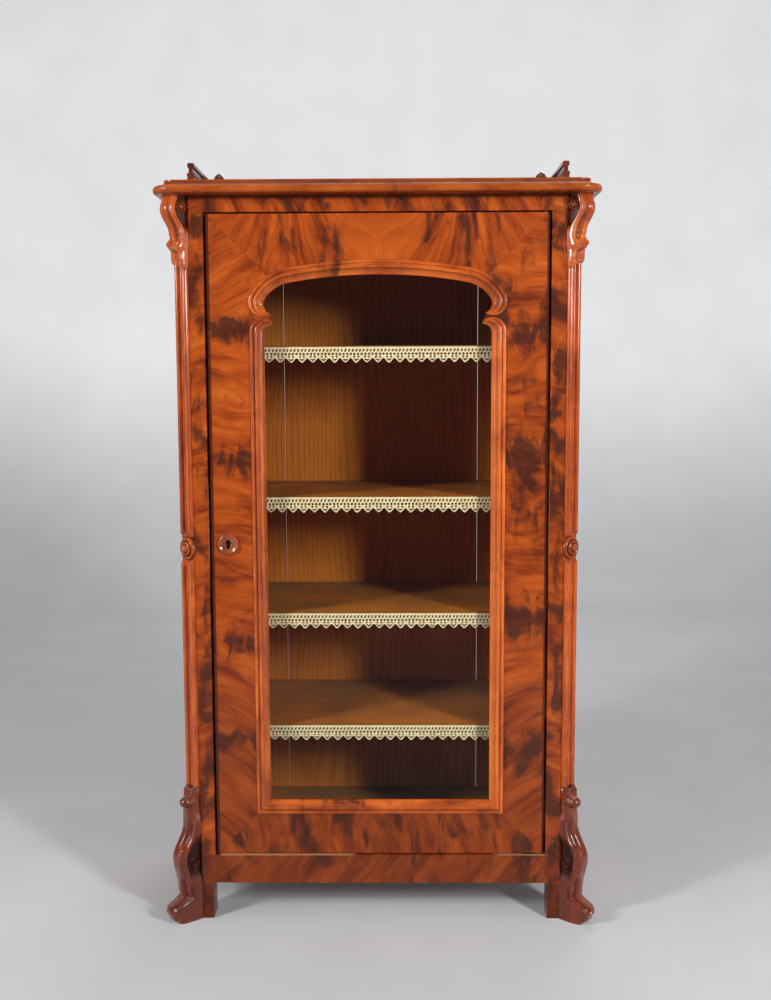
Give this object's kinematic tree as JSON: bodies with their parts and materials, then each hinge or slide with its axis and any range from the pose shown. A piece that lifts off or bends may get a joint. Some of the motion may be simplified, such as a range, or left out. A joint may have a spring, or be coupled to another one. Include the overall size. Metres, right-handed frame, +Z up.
{
  "type": "glazed parlour cupboard",
  "caption": "Glazed mahogany parlour cupboard: hinged door with a cusped glass arch and sliding lock bolt, lace-edged pine shelves, reeded canted corners, carved scroll feet.",
  "frame": {"origin": "on the floor, under the middle of the overall box", "axes": "+X to the right of someone facing the door, +Y towards the back, +Z up"},
  "size_m": [0.9652, 0.498, 1.725],
  "materials": {
    "mahogany_veneer": "polished",
    "carved_mahogany": "polished",
    "pine": "satin",
    "crochet_cotton": "matte",
    "lock_iron": "worn",
    "window_glass": "clear"
  },
  "bodies": {
    "carcase": {"left_side": "mahogany_veneer", "right_side": "mahogany_veneer", "left_corner_post": "mahogany_veneer", "right_corner_post": "mahogany_veneer", "frieze_rail": "mahogany_veneer", "base_rail": "mahogany_veneer", "moulded_top": "mahogany_veneer", "gallery_left_rail": "mahogany_veneer", "gallery_right_rail": "mahogany_veneer", "gallery_back_rail": "mahogany_veneer", "gallery_left_post": "mahogany_veneer", "gallery_right_post": "mahogany_veneer", "left_console": "carved_mahogany", "left_upper_strip": "carved_mahogany", "left_rosette": "carved_mahogany", "left_lower_strip": "carved_mahogany", "left_scroll_foot": "carved_mahogany", "right_console": "carved_mahogany", "right_upper_strip": "carved_mahogany", "right_rosette": "carved_mahogany", "right_lower_strip": "carved_mahogany", "right_scroll_foot": "carved_mahogany", "bottom_board": "pine", "carcase_top_board": "pine", "back_board_left": "pine", "back_board_middle": "pine", "back_board_right": "pine", "left_rear_foot": "pine", "right_rear_foot": "pine", "upper_shelf": "pine", "second_shelf": "pine", "third_shelf": "pine", "lower_shelf": "pine", "left_shelf_cleats": "pine", "right_shelf_cleats": "pine", "door_stop": "pine", "upper_lace": "crochet_cotton", "second_lace": "crochet_cotton", "third_lace": "crochet_cotton", "lower_lace": "crochet_cotton", "upper_hinge_plate": "lock_iron", "lower_hinge_plate": "lock_iron", "strike_plate": "lock_iron"},
    "door": {"door_lock_stile": "mahogany_veneer", "door_hinge_stile": "mahogany_veneer", "door_top_rail": "mahogany_veneer", "door_bottom_rail": "mahogany_veneer", "arch_moulding": "carved_mahogany", "left_glass_moulding": "carved_mahogany", "right_glass_moulding": "carved_mahogany", "bottom_glass_moulding": "carved_mahogany", "glass_pane": "window_glass", "glazing_beads": "pine", "escutcheon": "carved_mahogany", "lock_case": "lock_iron", "upper_hinge_leaf": "lock_iron", "lower_hinge_leaf": "lock_iron"},
    "lock_bolt": {"lock_bolt": "lock_iron"}
  },
  "joints": [
    {"name": "door_hinge", "type": "hinge", "parent": "carcase", "child": "door", "pos_m": [0.36, -0.188, 0.8615], "axis": [0, 0, 1], "range_deg": [0, 100]},
    {"name": "bolt_slide", "type": "slide", "parent": "door", "child": "lock_bolt", "axis": [-1, 0, 0], "range_m": [0, 0.01]}
  ]
}
